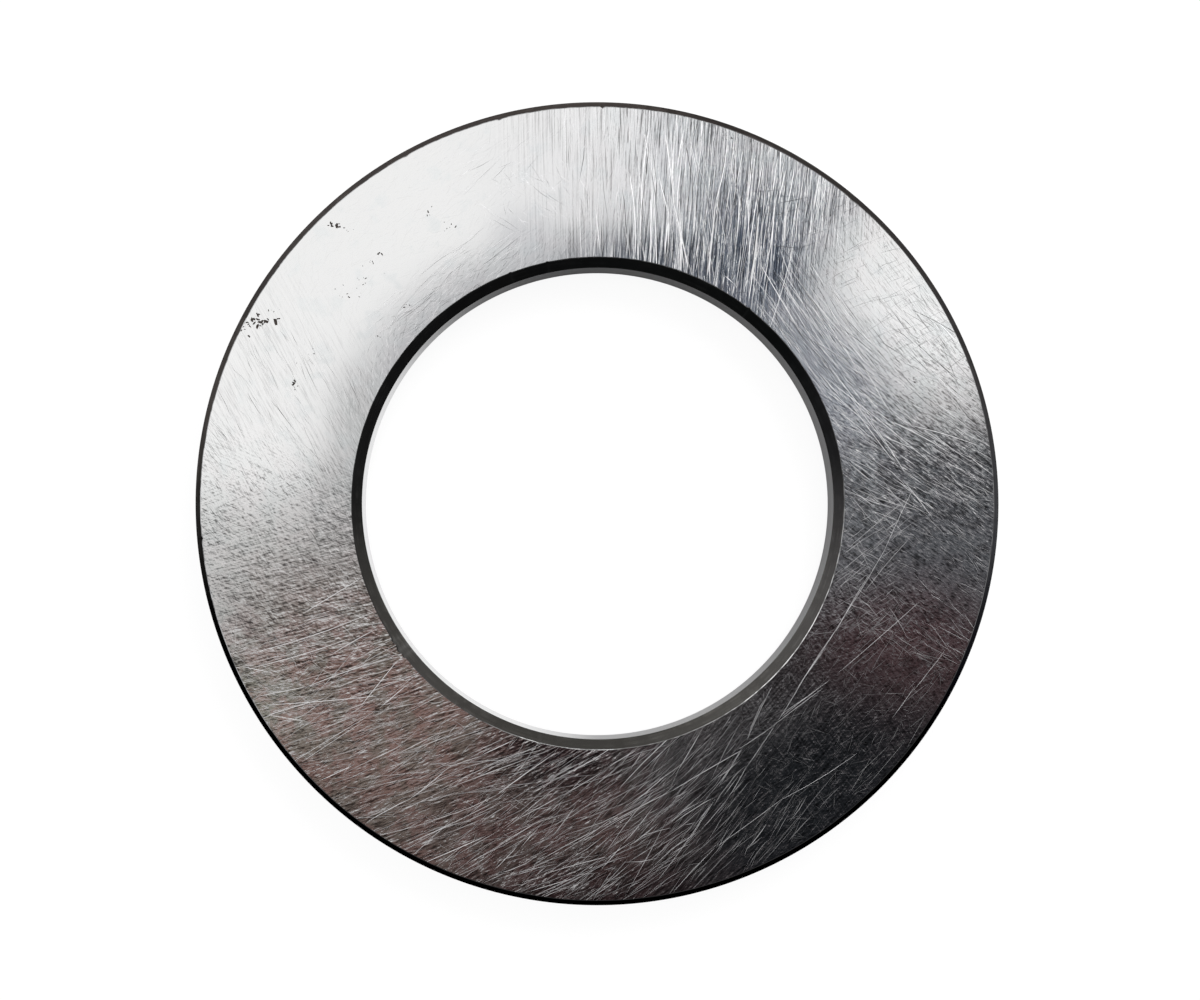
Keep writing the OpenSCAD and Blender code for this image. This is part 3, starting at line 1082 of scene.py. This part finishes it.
# What hangs over the washer, as a flat ceiling at the height of the camera. Each soft card has its
# middle and half size in mm, where the upper face mirrors it to the camera, a turn, softness and colour
CARDS = [
    ("far side", (0, -40), (140, 110), 0, 0.35, (0.45, 0.44, 0.44)),
    ("photographer", (6, -46), (76, 48), 0, 0.22, (0.034, 0.029, 0.031)),
    ("lamp", (-22, 76), (110, 79), 7, 0.05, (1.26, 1.25, 1.245)),
    ("paler lamp", (3, 29), (11, 8), 0, 0.6, (1.14, 1.13, 1.14)),
    ("under the lamp", (-31, -4.5), (8, 4.4), 0, 0.6, (0.86, 0.86, 0.85)),
    ("camera", (1.5, 5.8), (22.6, 17), 0, 0.13, (0.62, 0.62, 0.64)),
    ("left of the camera", (-21, -1), (4, 5), 0, 0.6, (0.5, 0.5, 0.5)),
    ("grey wall", (-31, -11), (13, 6.5), 0, 0.6, (0.54, 0.54, 0.53)),
    ("right wall", (28, -1), (12, 9), 0, 0.5, (0.126, 0.13, 0.143)),
    ("right of the bore", (20.8, -0.5), (2.6, 3.5), 0, 0.6, (0.18, 0.185, 0.2)),
    ("far right", (30.5, 10.6), (5, 3.3), 0, 0.6, (0.95, 0.94, 0.94)),
    ("below the lamp", (28.6, 14.4), (6.2, 4.6), 0, 0.6, (1.33, 1.33, 1.33)),
    ("gap's edge", (8.5, 27), (4.5, 8), 8, 0.6, (0.86, 0.88, 0.92)),
    ("cool gap", (13.6, 21.3), (5.3, 7.2), -12, 0.6, (0.085, 0.11, 0.165)),
    ("above the gap", (18.2, 26.2), (4.2, 3.3), 0, 0.6, (0.41, 0.43, 0.47)),
    ("beyond the gap", (11.5, 32.3), (3.6, 2.5), 0, 0.6, (0.5, 0.51, 0.53)),
    ("over the bore", (5.8, 20.4), (7, 2.8), 0, 0.6, (0.11, 0.13, 0.17)),
    ("above the bore", (-6.2, 22.6), (2.6, 1.9), 0, 0.6, (0.86, 0.86, 0.885)),
    ("left of the bore", (-19.8, 7.5), (2.4, 3.6), 0, 0.6, (0.7, 0.7, 0.7)),
    ("by the bore", (19, 10.5), (6.6, 4.7), -45, 0.6, (0.38, 0.4, 0.45)),
    ("brown wall", (-19, -19), (15, 12), -35, 0.6, (0.268, 0.188, 0.162)),
    ("brown floor", (-3.2, -27.6), (12.4, 6), 0, 0.6, (0.12, 0.078, 0.072)),
    ("under the bore", (-4, -21.3), (6, 3), -8, 0.6, (0.02, 0.012, 0.014)),
    ("beside the bore", (10.5, -21), (8, 3.8), 30, 0.6, (0.105, 0.096, 0.098)),
    ("pale patch", (-29, -17), (4, 3.5), 0, 0.6, (0.42, 0.36, 0.31)),
    ("far left", (-34.5, -7), (3.5, 6), 0, 0.6, (0.8, 0.8, 0.79)),
    ("end of the floor", (1.5, -34.2), (11.5, 3.9), 0, 0.6, (0.025, 0.015, 0.016)),
    ("end of the wall", (-20, -28), (6, 3), -40, 0.6, (0.17, 0.125, 0.11)),
    ("red patch", (26, -12), (7, 5), 0, 0.6, (0.098, 0.058, 0.062)),
    ("darkest", (17, -25), (12, 8), 30, 0.6, (0.016, 0.018, 0.021)),
]
OPEN_CEILING = (0.85, 0.85, 0.86, 1)
# The least rise of a ray that still meets the ceiling
LEAST_RISE = 0.02
# The horizon's colours in front and behind, where one turns into the other, and where it ends upwards
HORIZON = (0.06, 0.06, 0.065, 1), (0.5, 0.48, 0.46, 1)
HORIZON_TURN = (-0.4, 0.6)
HORIZON_TOP = (0.06, 0.30)


def studio_world():
    world = bpy.data.worlds.new("studio")
    world.use_nodes = True
    bpy.context.scene.world = world
    g = Graph(world.node_tree)
    x, y, z = g.split(g.node("TexCoord").outputs["Generated"])
    rise = g.math("MAXIMUM", z, LEAST_RISE)
    over = [
        g.math("ADD", g.times(g.math("DIVIDE", side, rise), EYE_HEIGHT), eye)
        for side, eye in ((x, EYE.x), (y, EYE.y))
    ]
    point = g.flat(*over)
    light = OPEN_CEILING
    for _, middle, size, turn, soft, colour in CARDS:
        far = g.length(g.place(point, middle, turn, size))
        share = g.smooth(far, 1 - soft, 1 + soft, 1, 0)
        light = g.blend(share, light, (*colour, 1))
    horizon = g.blend(g.smooth(y, *HORIZON_TURN), *HORIZON)
    light = g.blend(g.smooth(z, *HORIZON_TOP), horizon, light)
    path = g.node("LightPath").outputs
    seen = g.blend(path["Is Camera Ray"], light, (1, 1, 1, 1))
    background = g.node("Background", {"Color": seen, "Strength": 1.0})
    g.node("OutputWorld", {"Surface": background.outputs[0]})


# In metres
FLOOR_SIZE = 3.0
FLOOR_GAP = 0.00001
FLOOR_COLOUR = (0.92, 0.92, 0.92, 1)
# The strength of the floor's own light, and its share, with the rest left to the floor's shaded colour
FLOOR_WHITE = 1.05
FLOOR_GLOW = 0.86
# Painted shade on the paper inside the bore, seen only in mirrored rays: how bright it is mirrored in the
# wall above it, from angle to angle, darkest where the washer would shade it
PAPER_PAINTED_SHADE = grey(
    (-180, 1), (-108, 1), (-98, 0.75), (-90, 0.42), (-60, 0.35), (-30, 0.2), (0, 0.15), (30, 0.1),
    (60, 0.05), (90, 0.035), (108, 0.05), (122, 0.14), (136, 0.4), (150, 0.85), (162, 1), (180, 1),
)


def new_object(name, data):
    made = bpy.data.objects.new(name, data)
    bpy.context.scene.collection.objects.link(made)
    return made


def white_floor():
    """A white floor whose own light lifts it to the picture's white and leaves a soft shadow."""
    material, g = new_material("white_floor")
    path = g.node("LightPath").outputs
    mirrored = g.math("MAXIMUM", path["Is Glossy Ray"], path["Is Transmission Ray"])
    seen = g.math("MAXIMUM", path["Is Camera Ray"], mirrored)
    matt = g.node("BsdfDiffuse", {"Color": FLOOR_COLOUR})
    angle, _, radius = around(g)
    # Painted shade: mirrored rays see the paper inside the bore darkened round the ring where the washer
    # would shade it
    inside = g.times(g.math("LESS_THAN", radius, BORE_R), path["Is Glossy Ray"])
    light = g.blend(inside, (1, 1, 1, 1), round_ramp(g, angle, PAPER_PAINTED_SHADE))
    glow = g.node("Emission", {"Color": light, "Strength": FLOOR_WHITE})
    share = g.times(seen, FLOOR_GLOW)
    both = g.node("MixShader", {0: share, 1: matt.outputs[0], 2: glow.outputs[0]})
    g.node("OutputMaterial", {"Surface": both.outputs[0]})
    mesh = bpy.data.meshes.new("floor")
    half = FLOOR_SIZE / 2
    corners = [(x * half, y * half, -FLOOR_GAP) for x, y in ((-1, -1), (1, -1), (1, 1), (-1, 1))]
    mesh.from_pydata(corners, [], [range(4)])
    mesh.materials.append(material)
    new_object("floor", mesh)


# In metres and watts
LAMP_SIZE = 0.4
LAMP_POWER = 2.2
LAMP_PLACE = (0.24, 0.42, 0.46)


def soft_lamp():
    light = bpy.data.lights.new("soft_lamp", "AREA")
    light.size = LAMP_SIZE
    light.energy = LAMP_POWER
    lamp = new_object("soft_lamp", light)
    lamp.location = LAMP_PLACE
    lamp.rotation_euler = (-lamp.location).to_track_quat("-Z", "Y").to_euler()


def make_camera():
    data = bpy.data.cameras.new("camera")
    data.lens = LENS
    data.sensor_width = SENSOR
    data.shift_x, data.shift_y = LENS_SHIFT
    data.clip_start = NEAREST
    camera = new_object("camera", data)
    camera.location = EYE * MM
    camera.rotation_euler = EYE_TILT
    bpy.context.scene.camera = camera


materials = [
    ground_steel(), scratched_steel(), pitted_steel(), chamfered_steel(), turned_steel(), worn_steel_painted_glint(),
]
washer = to_object(build_washer(), "washer", materials)
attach(washer, "root")
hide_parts(NODE)
studio_world()
white_floor()
soft_lamp()
make_camera()
bpy.context.scene.view_settings.view_transform = "Standard"
